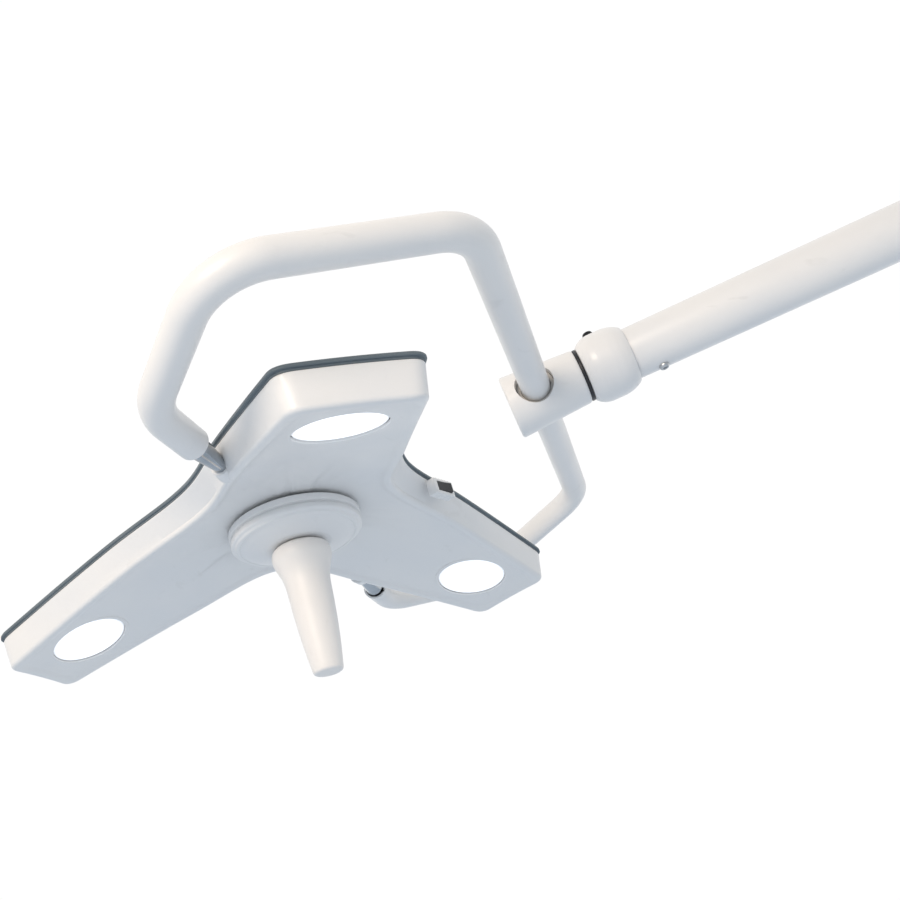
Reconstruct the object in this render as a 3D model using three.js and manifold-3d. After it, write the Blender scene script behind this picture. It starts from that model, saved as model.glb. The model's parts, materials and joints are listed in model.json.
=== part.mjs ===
// Operating light on a wall arm: a three-lobed lamp head tilts in a tube yoke,
// the yoke swings in a hub, the hub rolls on the arm's end and the arm rises on a wall swivel.
// Millimetres. Wall plate's back face is the plane X = 0, the arm runs towards -X, +Z is up.
import * as THREE from 'three';
import { mergeVertices } from 'three/addons/utils/BufferGeometryUtils.js';
import Module from 'manifold-3d';

const wasm = await Module();
wasm.setup();

// ---- Driving dimensions -------------------------------------------------------------
const GAP = 0.3; // between pieces that touch
const RUN = 0.15; // running clearance of a turning pair

const PLATE = { width: 120, height: 160, thick: 12, corner: 14, screwY: 44, screwZ: 62 };
const POST_X = -70; // vertical swivel axis
const PIVOT_Z = 95; // arm's pitch axis above the plate's centre
const SLEEVE = { outer: 22, low: -40, high: 28.4 };
const SPIGOT_R = 12;
const FORK = { cheekIn: 9.5, cheekOut: 17.5, halfWidth: 20, baseTop: -56, baseBottom: -64, baseR: 22 };

const ARM_RISE = 18; // degrees above level, from the lamp to the wall
const ARM_LENGTH = 560; // hub centre to pitch axis
const ARM_R = 22.25;
const ARM_WALL = 2;
const TUBE_START = 75;
const TUBE_END = 484.7;
const COLLAR_START = 42;
const COLLAR_END = 82;
const COLLAR_R = 30;

const HUB = { free: -26, ring: 39, rFree: 28, rRing: 23.5, crossBore: 16.5, spindleR: 9.3 };

const YOKE_RISE = 24; // degrees, plane of the yoke
const YOKE_R = 12.5;
const YOKE_WALL = 2;
const YOKE_BEND = 50;
const YOKE_REACH = 239; // main bar to tilt axis
const YOKE_HALF_BAR = 246.5;
const YOKE_HALF_WIDE = 344;
const YOKE_ELBOW = 259.5;
const YOKE_SHOULDER_X = -147.3;
const STUB_END = 202;

const HEAD_TILT = 14.3; // degrees, back of the head leans to the wall
const PIN_X = 6.5; // tilt axis in the head's own axes
const PIN_Z = 26.5;
const LOBES = [300, 180, 60];
const TIP_R = 284; // lobe tip from the head's centre
const TIP_HALF = 47;
const CORNER = 12;
const SIDE_R = 150; // where a lobe's straight side ends
const SLOPE = 0.265; // fall of the umbrella from centre to tip
const WALL = 2.5;
const LENS_RADIUS = 35;
const LENS_AT = 225;
const LENS_TILT = 0.274; // radians, aims the three beams at one spot
const DRUM_R = 61;
const DRUM_FACE_Z = 13;
const HANDLE_TIP_Z = -107;
const SWITCH = { x: 130.4, y: 44.5, z: 37, turn: -24 }; // on the side wall near the wall-side notch
const SPINDLE_R = 8;

// ---- Finishes -----------------------------------------------------------------------
const finish = (color, roughness, metalness) => ({ color, roughness, metalness });
const PAINT = finish(0xf1ede8, 0.42, 0.05);
const SHELL_WHITE = finish(0xf4f1ec, 0.38, 0);
const HANDLE_WHITE = finish(0xf6efe6, 0.5, 0);
const STEEL = finish(0x8f979c, 0.28, 0.9);
const ALLOY = finish(0xb9bdc0, 0.45, 0.85);
const BLACK = finish(0x15171a, 0.6, 0);
const RUBBER = finish(0x3b4348, 0.8, 0);
const NYLON = finish(0xd9d6cc, 0.55, 0);
const CLEAR = finish(0xffffff, 0.08, 0);
const MIRROR = finish(0xdfe3e6, 0.12, 1);
const BOARD = finish(0x2d6b46, 0.6, 0);

// ---- Helpers ------------------------------------------------------------------------
const rad = THREE.MathUtils.degToRad;
const V2 = (x, y) => new THREE.Vector2(x, y);

function part(name, geometry, look) {
  const material = new THREE.MeshStandardMaterial(look);
  const mesh = new THREE.Mesh(geometry, material);
  mesh.name = name;
  return mesh;
}

// Closed mesh to a manifold solid, and back.
function toSolid(geometry) {
  const bare = geometry.clone();
  bare.deleteAttribute('normal');
  bare.deleteAttribute('uv');
  const merged = mergeVertices(bare, 1e-4);
  const vertProperties = new Float32Array(merged.attributes.position.array);
  const triVerts = new Uint32Array(merged.index.array);
  return new wasm.Manifold(new wasm.Mesh({ numProp: 3, vertProperties, triVerts }));
}

function toGeometry(solid) {
  const mesh = solid.getMesh();
  const geometry = new THREE.BufferGeometry();
  geometry.setAttribute('position', new THREE.BufferAttribute(mesh.vertProperties, 3));
  geometry.setIndex(new THREE.BufferAttribute(mesh.triVerts, 1));
  geometry.computeVertexNormals();
  return geometry;
}

const join = (first, ...rest) => toGeometry(rest.reduce((s, g) => s.add(toSolid(g)), toSolid(first)));
const cut = (first, ...rest) => toGeometry(rest.reduce((s, g) => s.subtract(toSolid(g)), toSolid(first)));

// Solid of revolution about Z from [radius, height] pairs that run up the outside.
// A profile that starts off the axis is closed on itself, which leaves a bore.
function turned(pairs, segments = 16) {
  const points = pairs.map(([r, z]) => V2(r, z));
  if (pairs[0][0] > 0) points.push(points[0].clone());
  const geometry = new THREE.LatheGeometry(points, segments);
  return geometry.rotateX(Math.PI / 2);
}

const ring = (inner, outer, low, high, segments = 16) =>
  turned([[inner, low], [outer, low], [outer, high], [inner, high]], segments);
const rod = (radius, low, high, segments = 16) =>
  turned([[0, low], [radius, low], [radius, high], [0, high]], segments);
const alongX = (geometry) => geometry.rotateY(Math.PI / 2);
const alongY = (geometry) => geometry.rotateX(-Math.PI / 2);
const box = (x0, x1, y0, y1, z0, z1) =>
  new THREE.BoxGeometry(x1 - x0, y1 - y0, z1 - z0).translate((x0 + x1) / 2, (y0 + y1) / 2, (z0 + z1) / 2);

function roundedRect(width, height, corner) {
  const x = width / 2;
  const y = height / 2;
  const shape = new THREE.Shape();
  shape.moveTo(-x + corner, -y);
  shape.lineTo(x - corner, -y);
  shape.absarc(x - corner, -y + corner, corner, -Math.PI / 2, 0);
  shape.lineTo(x, y - corner);
  shape.absarc(x - corner, y - corner, corner, 0, Math.PI / 2);
  shape.lineTo(-x + corner, y);
  shape.absarc(-x + corner, y - corner, corner, Math.PI / 2, Math.PI);
  shape.lineTo(-x, -y + corner);
  shape.absarc(-x + corner, -y + corner, corner, Math.PI, 1.5 * Math.PI);
  return shape;
}

// Closed skin over rings of equal length; the first and last rings are single points.
function loft(rings) {
  const count = rings[1].length;
  const positions = [];
  const starts = [];
  for (const loop of rings) {
    starts.push(positions.length / 3);
    for (const p of loop) positions.push(p.x, p.y, p.z);
  }
  const index = [];
  for (let i = 0; i + 1 < rings.length; i += 1) {
    for (let j = 0; j < count; j += 1) {
      const next = (j + 1) % count;
      const a = starts[i] + (rings[i].length > 1 ? j : 0);
      const b = starts[i] + (rings[i].length > 1 ? next : 0);
      const c = starts[i + 1] + (rings[i + 1].length > 1 ? next : 0);
      const d = starts[i + 1] + (rings[i + 1].length > 1 ? j : 0);
      if (rings[i].length > 1) index.push(a, b, c);
      if (rings[i + 1].length > 1) index.push(a, c, d);
    }
  }
  const geometry = new THREE.BufferGeometry();
  geometry.setAttribute('position', new THREE.Float32BufferAttribute(positions, 3));
  geometry.setIndex(index);
  geometry.computeVertexNormals();
  return geometry;
}

// ---- Wall bracket and swivel --------------------------------------------------------
function wallBracket() {
  const outline = roundedRect(PLATE.width, PLATE.height, PLATE.corner);
  const plate = new THREE.ExtrudeGeometry(outline, { depth: PLATE.thick, bevelEnabled: false, curveSegments: 5 });
  plate.rotateZ(Math.PI / 2);
  plate.rotateY(-Math.PI / 2);
  const web = box(POST_X, -PLATE.thick + 1, -8, 8, SLEEVE.low + 4, SLEEVE.high - 4);
  const sleeve = rod(SLEEVE.outer, SLEEVE.low, SLEEVE.high, 24).translate(POST_X, 0, 0);
  const bore = rod(15.3, SLEEVE.low - 1, SLEEVE.high + 1, 24).translate(POST_X, 0, 0);
  const holes = screwPlaces().map(([y, z]) => alongX(rod(4.5, -PLATE.thick - 1, 1, 16)).translate(0, y, z));
  const casting = toGeometry(toSolid(plate).add(toSolid(web)).add(toSolid(sleeve)));
  return cut(casting, bore, ...holes);
}

function screwPlaces() {
  const places = [];
  for (const y of [-PLATE.screwY, PLATE.screwY]) {
    for (const z of [-PLATE.screwZ, PLATE.screwZ]) places.push([y, z]);
  }
  return places;
}

// Pan-head screw with a driver recess; the head sits in front of the plate.
function wallScrew() {
  const face = -PLATE.thick - GAP;
  const screw = turned([[0, 0], [3.6, 0], [3.6, -face], [8, -face], [8, -face + 3], [6, -face + 5],
    [2.6, -face + 5], [2.6, -face + 2.5], [0, -face + 2.5]], 8);
  return alongX(screw).rotateZ(Math.PI);
}

function swivelFork() {
  const base = rod(FORK.baseR, FORK.baseBottom, FORK.baseTop, 24);
  const spigotEnd = SLEEVE.low - 6 - PIVOT_Z;
  const groove = SLEEVE.low - PIVOT_Z;
  const spigot = turned([[0, spigotEnd], [SPIGOT_R - 1, spigotEnd], [SPIGOT_R, spigotEnd + 1],
    [SPIGOT_R, groove - 3.5], [SPIGOT_R - 2, groove - 3.5], [SPIGOT_R - 2, groove - 1], [SPIGOT_R, groove - 1],
    [SPIGOT_R, FORK.baseBottom + 1], [0, FORK.baseBottom + 1]], 24);
  const cheek = new THREE.Shape();
  cheek.moveTo(-FORK.halfWidth, FORK.baseTop - 1);
  cheek.lineTo(FORK.halfWidth, FORK.baseTop - 1);
  cheek.lineTo(FORK.halfWidth, 0);
  cheek.absarc(0, 0, FORK.halfWidth, 0, Math.PI);
  const depth = FORK.cheekOut - FORK.cheekIn;
  const options = { depth, bevelEnabled: false, curveSegments: 8 };
  const far = new THREE.ExtrudeGeometry(cheek, options).rotateX(Math.PI / 2).translate(0, FORK.cheekOut, 0);
  const near = far.clone().translate(0, -FORK.cheekOut - FORK.cheekIn, 0);
  const trim = rod(FORK.baseR, FORK.baseTop - 2, FORK.halfWidth + 1, 24);
  const cheeks = toSolid(far).add(toSolid(near)).intersect(toSolid(trim));
  const whole = toGeometry(cheeks.add(toSolid(base)).add(toSolid(spigot)));
  return cut(whole, alongY(rod(8.3, -30, 30, 24)));
}

// Clevis pin with a domed head on the near side.
const pivotPin = () => alongY(turned([[0, -22], [9, -22], [11, -20], [11, -17.9], [8, -17.9], [8, 22], [0, 22]], 24));
const pivotCap = () => alongY(turned([[0, 22.4], [8, 22.4], [8.3, 17.9], [12, 17.9], [12, 21], [9.5, 24.4], [0, 24.4]], 24));

// ---- Arm ----------------------------------------------------------------------------
// The arm's own axes have X along the tube, zero at the hub's centre.
function armTube() {
  const tube = alongX(ring(ARM_R - ARM_WALL, ARM_R, TUBE_START, TUBE_END, 24));
  const hole = rod(2.3, -ARM_R - 2, -ARM_R + 5, 12).translate(102, 0, 0);
  return cut(tube, hole);
}

function armCollar() {
  const body = alongX(turned([[15.3, COLLAR_START], [HUB.rRing, COLLAR_START], [26.5, 45], [COLLAR_R - 1, 49.5],
    [COLLAR_R, 53], [COLLAR_R, 68], [COLLAR_R - 1, 73], [27, 78], [24.5, COLLAR_END], [ARM_R + GAP, COLLAR_END],
    [ARM_R + GAP, TUBE_START - GAP], [15.3, TUBE_START - GAP]], 24));
  return cut(body, rod(4.3, 14, COLLAR_R + 3, 16).translate(58, 0, 0));
}

function armKnuckle() {
  const start = TUBE_END - 35;
  const flange = TUBE_END + GAP;
  const plug = alongX(turned([[0, start], [18, start], [ARM_R - ARM_WALL - GAP, start + 2],
    [ARM_R - ARM_WALL - GAP, flange], [ARM_R, flange], [ARM_R, flange + 4], [18, flange + 7], [0, flange + 7]], 24));
  const tang = new THREE.Shape();
  tang.moveTo(flange + 5, -17);
  tang.lineTo(ARM_LENGTH, -18);
  tang.absarc(ARM_LENGTH, 0, 18, -Math.PI / 2, Math.PI / 2);
  tang.lineTo(flange + 5, 17);
  const plate = new THREE.ExtrudeGeometry(tang, { depth: 16, bevelEnabled: false, curveSegments: 8 });
  plate.rotateX(Math.PI / 2).translate(0, 8, 0);
  return cut(join(plug, plate), alongY(rod(10.8, -20, 20, 24)).translate(ARM_LENGTH, 0, 0));
}

// Socket-head screw that presses on the spindle's bush.
const brakeScrew = () => turned([[0, 15.6], [4, 15.6], [4, 31], [5, 31.3], [5, 35], [4.4, 35.6], [2.4, 35.6],
  [2.4, 33], [0, 33]], 12);
const collarScrew = () => turned([[0, 17], [2, 17], [2, ARM_R + GAP], [4.2, ARM_R + GAP], [4.2, ARM_R + 1.8],
  [3, ARM_R + 3], [0, ARM_R + 3]], 10).rotateX(Math.PI);

// ---- Hub ----------------------------------------------------------------------------
function hubBody() {
  const body = alongX(turned([[0, HUB.free + 3], [24, HUB.free + 3], [24, HUB.free], [HUB.rFree - 1, HUB.free],
    [HUB.rFree, HUB.free + 1.5], [HUB.rRing + 0.4, HUB.ring - 2], [HUB.rRing - 0.6, HUB.ring], [0, HUB.ring]], 24));
  const cross = alongY(rod(HUB.crossBore, -40, 40, 24));
  const socket = alongX(rod(HUB.spindleR + GAP, 10, HUB.ring + 1, 24));
  return cut(body, cross, socket);
}

function hubSpindle() {
  const r = HUB.spindleR;
  return alongX(turned([[0, 17.5], [r, 17.5], [r, 75.5], [8, 75.5], [8, 78.5], [r, 78.5], [r - 1, 81], [0, 81]], 24));
}

// ---- Yoke ---------------------------------------------------------------------------
// Bent tube in the plane Z = 0; X = 0 is the main bar, corners are rounded by arcs.
function yokeCorners() {
  const half = [[-YOKE_REACH, STUB_END], [-YOKE_REACH, YOKE_ELBOW], [YOKE_SHOULDER_X, YOKE_HALF_WIDE],
    [0, YOKE_HALF_BAR]].map(([x, y]) => new THREE.Vector3(x, y, 0));
  const mirrored = half.map((p) => new THREE.Vector3(p.x, -p.y, 0)).reverse();
  return [...half, ...mirrored];
}

class BentTube extends THREE.CurvePath {
  constructor(corners, bend) {
    super();
    let from = corners[0];
    for (let i = 1; i + 1 < corners.length; i += 1) {
      const back = corners[i - 1].clone().sub(corners[i]).normalize();
      const ahead = corners[i + 1].clone().sub(corners[i]).normalize();
      const half = back.angleTo(ahead) / 2;
      const run = bend / Math.tan(half);
      const start = corners[i].clone().addScaledVector(back, run);
      const end = corners[i].clone().addScaledVector(ahead, run);
      const centre = corners[i].clone().add(back.add(ahead).normalize().multiplyScalar(bend / Math.sin(half)));
      this.add(new THREE.LineCurve3(from, start));
      this.add(new BendArc(centre, start, end));
      from = end;
    }
    this.add(new THREE.LineCurve3(from, corners[corners.length - 1]));
  }
}

class BendArc extends THREE.Curve {
  constructor(centre, start, end) {
    super();
    this.centre = centre;
    this.from = start.clone().sub(centre);
    this.to = end.clone().sub(centre);
    this.angle = this.from.angleTo(this.to);
  }

  getPoint(t, target = new THREE.Vector3()) {
    const s = Math.sin(this.angle);
    target.copy(this.from).multiplyScalar(Math.sin((1 - t) * this.angle) / s);
    return target.addScaledVector(this.to, Math.sin(t * this.angle) / s).add(this.centre);
  }
}

function yokeTube() {
  const section = new THREE.Shape();
  section.absarc(0, 0, YOKE_R, 0, 2 * Math.PI);
  const hollow = new THREE.Path();
  hollow.absarc(0, 0, YOKE_R - YOKE_WALL, 0, 2 * Math.PI, true);
  section.holes.push(hollow);
  const extrudePath = new BentTube(yokeCorners(), YOKE_BEND);
  return new THREE.ExtrudeGeometry(section, { extrudePath, steps: 54, curveSegments: 5 });
}

// ---- Lamp head ----------------------------------------------------------------------
const backZ = (r) => 8 + SLOPE * (TIP_R - Math.hypot(r, 40));
const rimZ = (r) => backZ(r) - 23 - 0.0326 * (Math.max(r, 100) - 100);
const dishZ = (r) => Math.min(rimZ(r) + 2, 39 + 0.02 * (60 - r));

// Half of a lobe's outline in lobe axes: tip, corner arc, straight side, curve to the notch.
function halfLobe(grow, sideHalf, notch) {
  const tip = TIP_R + grow;
  const half = TIP_HALF + grow;
  const corner = V2(tip, half);
  const side = V2(SIDE_R, sideHalf + grow);
  const valley = V2(0.5, Math.sqrt(3) / 2).multiplyScalar(notch + grow);
  const along = side.clone().sub(corner).normalize();
  const reach = side.distanceTo(valley);
  const tipCurve = new THREE.QuadraticBezierCurve(V2(tip, half - CORNER), corner,
    corner.clone().addScaledVector(along, CORNER));
  const valleyCurve = new THREE.CubicBezierCurve(side, side.clone().addScaledVector(along, 0.45 * reach),
    valley.clone().addScaledVector(V2(Math.sqrt(3) / 2, -0.5), 0.3 * reach), valley);
  return [V2(tip, 0), ...tipCurve.getPoints(2), ...valleyCurve.getPoints(4)];
}

// Closed outline, every point as [x, y], anticlockwise seen from above.
function headOutline(grow, sideHalf, notch) {
  const half = halfLobe(grow, sideHalf, notch);
  const points = [];
  for (const degrees of [60, 180, 300]) {
    const along = V2(Math.cos(rad(degrees)), Math.sin(rad(degrees)));
    const across = V2(-along.y, along.x);
    const place = (p, side) => along.clone().multiplyScalar(p.x).addScaledVector(across, side * p.y);
    for (const p of half.slice(1, -1).reverse()) points.push(place(p, -1));
    for (const p of half) points.push(place(p, 1));
  }
  return points;
}

const rimOutline = (grow) => headOutline(grow, 69, 100);
const backOutline = (grow) => headOutline(grow, 74, 112);
const scaled = (outline, factor) => outline.map((p) => p.clone().multiplyScalar(factor));
const raised = (outline, height) => outline.map((p) => new THREE.Vector3(p.x, p.y, height(p.length())));
const pole = (height) => [new THREE.Vector3(0, 0, height)];

function headShell() {
  const rings = [
    pole(dishZ(0)),
    raised(scaled(rimOutline(-14), 0.25), dishZ),
    raised(scaled(rimOutline(-14), 0.55), dishZ),
    raised(scaled(rimOutline(-14), 0.8), dishZ),
    raised(rimOutline(-12), dishZ),
    raised(rimOutline(-5), rimZ),
    raised(rimOutline(0), (r) => rimZ(r) + 5),
    raised(backOutline(3), backZ),
    raised(backOutline(3 - WALL), backZ),
    raised(rimOutline(-WALL), (r) => rimZ(r) + 6),
    raised(rimOutline(-6), (r) => rimZ(r) + WALL + 0.5),
    raised(rimOutline(-12), (r) => dishZ(r) + WALL),
    raised(scaled(rimOutline(-14), 0.8), (r) => dishZ(r) + WALL),
    raised(scaled(rimOutline(-14), 0.55), (r) => dishZ(r) + WALL),
    raised(scaled(rimOutline(-14), 0.25), (r) => dishZ(r) + WALL),
    pole(dishZ(0) + WALL),
  ];
  const windows = LOBES.map((degrees) => {
    const window = rod(LENS_RADIUS, -20, 15, 20).rotateY(LENS_TILT).translate(LENS_AT, 0, 0);
    return window.rotateZ(rad(degrees));
  });
  const centre = rod(SPINDLE_R + 0.6, 20, 70, 20);
  const skin = toSolid(loft(rings));
  let shell = windows.reduce((s, g) => s.subtract(toSolid(g)), skin).subtract(toSolid(centre));
  for (const turn of [0, Math.PI]) {
    const place = (geometry) => toSolid(alongY(geometry).rotateZ(turn).translate(PIN_X, 0, PIN_Z));
    shell = shell.add(place(rod(8.5, 154, 172, 16))).subtract(place(rod(4.3, 150, 180, 12)));
  }
  return toGeometry(shell);
}

// Flat-section band that follows the shell's back edge.
function backGasket() {
  const at = (grow, lift) => raised(backOutline(grow), (r) => backZ(r) + lift);
  const rings = [at(-3, GAP), at(2.6, GAP), at(2.6, 2), at(-3, 2), at(-3, GAP)];
  return toGeometry(toSolid(loft(rings)));
}

function backCover() {
  const low = (r) => backZ(r) + 2 + GAP;
  const high = (r) => backZ(r) + 6;
  const edge = backOutline(4.5);
  const steps = [0.35, 0.7];
  const rings = [
    pole(low(0)),
    ...steps.map((s) => raised(scaled(edge, s), low)),
    raised(edge, low),
    raised(edge, (r) => backZ(r) + 5),
    raised(backOutline(3), high),
    ...steps.map((s) => raised(scaled(edge, s), high)).reverse(),
    pole(high(0)),
  ];
  return loft(rings);
}

const lens = () => turned([[0, -1.2], [LENS_RADIUS - 1.2, -1.2], [LENS_RADIUS - 0.5, -0.4], [LENS_RADIUS - 0.5, 2.8],
  [38, 2.8], [38, 4.8], [0, 4.8]], 20);
const reflector = () => turned([[9, 12.6], [18, 8.6], [33, 5.2], [34.5, 5.2], [20, 10.2], [10.5, 14.2],
  [9, 14.2]], 12);

function heatSink() {
  const outline = new THREE.Shape();
  const fins = 7;
  const pitch = 7;
  const left = (-fins * pitch) / 2;
  outline.moveTo(left, 16.8);
  outline.lineTo(left + fins * pitch, 16.8);
  for (let i = fins; i > 0; i -= 1) {
    const x = left + i * pitch;
    outline.lineTo(x, 20.5);
    outline.lineTo(x - 2, 20.5);
    outline.lineTo(x - 2, 18.2);
    if (i > 1) outline.lineTo(x - pitch, 18.2);
  }
  outline.lineTo(left, 18.2);
  const sink = new THREE.ExtrudeGeometry(outline, { depth: 44, bevelEnabled: false });
  return sink.rotateX(Math.PI / 2).translate(0, 22, 0);
}

function handleDrum() {
  const under = (r) => dishZ(r) - GAP - 0.05 * r;
  return turned([[SPINDLE_R + 0.6, DRUM_FACE_Z], [30, DRUM_FACE_Z], [46, 16.5], [58.5, 21], [60.3, 22.6], [60.3, 26],
    [59, 26.8], [59, 28.2], [DRUM_R, 29], [DRUM_R, under(DRUM_R) - 1], [DRUM_R - 2, under(DRUM_R)],
    [SPINDLE_R + 0.6, under(DRUM_R)]], 24);
}

const handleSpindle = () => turned([[0, -60], [6.5, -60], [SPINDLE_R, -57], [SPINDLE_R, 43.2], [18, 43.2], [18, 46],
  [0, 46]], 16);

const handleGrip = () => turned([[0, HANDLE_TIP_Z], [11, HANDLE_TIP_Z], [13.4, -105.5], [15.6, -88],
  [18.4, -58], [19.9, -28], [21.6, -16], [26.8, -1], [27.2, 4], [26, 9], [18, 12.6],
  [SPINDLE_R + 0.35, 12.6], [SPINDLE_R + 0.35, -61], [0, -61]], 16);

// Turned steel pivot: cone outside the head, a thin shank in its boss and a journal in the yoke.
const pivotCone = () => alongY(turned([[0, 156], [4, 156], [4, 172.3], [7, 172.3], [7, 175], [9.2, 200.5],
  [9.2, 201.7], [5, 201.7], [5, 229], [0, 229]], 16));

// ---- Assembly -----------------------------------------------------------------------
function nest(parent, position, degreesAboutY) {
  const group = new THREE.Group();
  group.position.set(...position);
  group.rotation.y = rad(degreesAboutY);
  parent.add(group);
  return group;
}

function addWall(parent) {
  parent.add(part('wall_bracket', wallBracket(), PAINT));
  screwPlaces().forEach(([y, z], i) => {
    const screw = part(`wall_screw_${i + 1}`, wallScrew(), STEEL);
    screw.position.set(0, y, z);
    parent.add(screw);
  });
  const bush = part('socket_bush', ring(SPIGOT_R + RUN, 15, SLEEVE.low + 1, SLEEVE.high - 0.4, 24), NYLON);
  bush.position.x = POST_X;
  parent.add(bush);
}

function addSwivel(parent) {
  parent.add(part('swivel_fork', swivelFork(), PAINT));
  const washerLow = SLEEVE.high - PIVOT_Z + GAP;
  parent.add(part('swivel_washer', ring(SPIGOT_R + GAP, 21, washerLow, FORK.baseBottom - GAP, 16), BLACK));
  const clipTop = SLEEVE.low - PIVOT_Z - 1.2;
  parent.add(part('spigot_clip', ring(SPIGOT_R - 1.7, 16, clipTop - 2, clipTop, 16), STEEL));
  parent.add(part('pivot_pin', pivotPin(), STEEL));
  parent.add(part('pivot_cap', pivotCap(), BLACK));
}

function addArm(arm) {
  arm.add(part('arm_tube', armTube(), PAINT));
  arm.add(part('arm_knuckle', armKnuckle(), ALLOY));
  const bush = part('pivot_bush', alongY(ring(8 + RUN, 10.5, -8, 8, 24)), NYLON);
  bush.position.x = ARM_LENGTH;
  arm.add(bush);
  for (const [name, side] of [['brake_disc_near', -1], ['brake_disc_far', 1]]) {
    const disc = part(name, alongY(ring(8.5, 16, -0.45, 0.45, 16)), BLACK);
    disc.position.set(ARM_LENGTH, side * 8.75, 0);
    arm.add(disc);
  }
  arm.add(part('arm_collar', armCollar(), PAINT));
  arm.add(part('collar_bush', alongX(ring(HUB.spindleR + RUN, 15, COLLAR_START + 1, 73, 24)), NYLON));
  arm.add(part('friction_ring', alongX(ring(HUB.spindleR + 0.7, 23, HUB.ring + GAP, COLLAR_START - GAP, 24)), BLACK));
  const brake = part('brake_screw', brakeScrew(), BLACK);
  brake.position.x = 58;
  arm.add(brake);
  const screw = part('collar_screw', collarScrew(), STEEL);
  screw.position.x = 102;
  arm.add(screw);
}

function addHub(hub) {
  hub.add(part('hub_body', hubBody(), PAINT));
  hub.add(part('hub_spindle', hubSpindle(), STEEL));
  hub.add(part('spindle_clip', alongX(ring(8.3, 14, 76, 78, 16)), STEEL));
  const cap = alongX(turned([[0, HUB.free + 0.6], [23.6, HUB.free + 0.6], [23.6, HUB.free + 2.7], [0, HUB.free + 2.7]], 24));
  hub.add(part('hub_end_cap', cap, PAINT));
  for (const [name, low, high] of [['bar_bush_near', -17, -5], ['bar_bush_far', 5, 17]]) {
    hub.add(part(name, alongY(ring(YOKE_R + 0.35, HUB.crossBore - GAP, low, high, 24)), NYLON));
  }
}

function addYoke(yoke) {
  yoke.add(part('yoke_tube', yokeTube(), PAINT));
  for (const [name, turn] of [['stub_bush_far', 0], ['stub_bush_near', 180]]) {
    const bush = part(name, alongY(ring(5 + RUN, YOKE_R - YOKE_WALL - 0.9, STUB_END + 0.4, 230, 16)), NYLON);
    bush.position.x = -YOKE_REACH;
    bush.rotation.z = rad(turn);
    yoke.add(bush);
  }
}

function addLamps(head) {
  LOBES.forEach((degrees, i) => {
    const arm = new THREE.Group();
    arm.rotation.z = rad(degrees);
    const lamp = nest(arm, [LENS_AT, 0, 0], 0);
    lamp.rotation.y = LENS_TILT;
    lamp.add(part(`lens_${i + 1}`, lens(), CLEAR));
    lamp.add(part(`reflector_${i + 1}`, reflector(), MIRROR));
    lamp.add(part(`led_board_${i + 1}`, rod(16, 14.6, 16.2, 16), BOARD));
    lamp.add(part(`heat_sink_${i + 1}`, heatSink(), ALLOY));
    head.add(arm);
  });
}

function addHead(head) {
  head.add(part('head_shell', headShell(), SHELL_WHITE));
  head.add(part('back_gasket', backGasket(), RUBBER));
  head.add(part('back_cover', backCover(), SHELL_WHITE));
  addLamps(head);
  head.add(part('handle_drum', handleDrum(), SHELL_WHITE));
  head.add(part('handle_spindle', handleSpindle(), STEEL));
  head.add(part('driver_board', box(-70, -24, -20, 20, 46, 48), BOARD));
  for (const [name, turn] of [['tilt_pivot_far', 0], ['tilt_pivot_near', 180]]) {
    const pivot = part(name, pivotCone(), STEEL);
    pivot.position.set(PIN_X, 0, PIN_Z);
    pivot.rotation.z = rad(turn);
    head.add(pivot);
  }
  head.add(part('handle_grip', handleGrip(), HANDLE_WHITE));
  addSwitch(head);
}

function addSwitch(head) {
  const holder = new THREE.Group();
  holder.position.set(SWITCH.x, SWITCH.y, SWITCH.z);
  holder.rotation.z = rad(SWITCH.turn);
  const shell = cut(box(-5, 5, -14, 14, -8, 8), box(1.5, 7, -10, 10, -5, 5));
  holder.add(part('switch_housing', shell, SHELL_WHITE));
  const rocker = new THREE.Shape();
  rocker.moveTo(-9, 3.4);
  rocker.lineTo(0, 2.4);
  rocker.lineTo(9, 3.4);
  rocker.lineTo(9, 4.6);
  rocker.lineTo(0, 5.6);
  rocker.lineTo(-9, 7);
  const body = new THREE.ExtrudeGeometry(rocker, { depth: 9, bevelEnabled: false });
  body.rotateZ(-Math.PI / 2).translate(0, 0, -4.5);
  holder.add(part('switch_rocker', body, BLACK));
  head.add(holder);
}

const light = new THREE.Group();
addWall(light);
addSwivel(nest(light, [POST_X, 0, PIVOT_Z], 0));
const slope = nest(light, [POST_X, 0, PIVOT_Z], -ARM_RISE);
const arm = nest(slope, [-ARM_LENGTH, 0, 0], 0);
addArm(arm);
addHub(arm);
const yoke = nest(arm, [0, 0, 0], ARM_RISE - YOKE_RISE);
addYoke(yoke);
const tilt = nest(yoke, [-YOKE_REACH, 0, 0], YOKE_RISE - HEAD_TILT);
addHead(nest(tilt, [-PIN_X, 0, -PIN_Z], 0));

export default light;
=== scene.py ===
import json
import math

import bmesh
import bpy
from mathutils import Matrix, Vector


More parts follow.
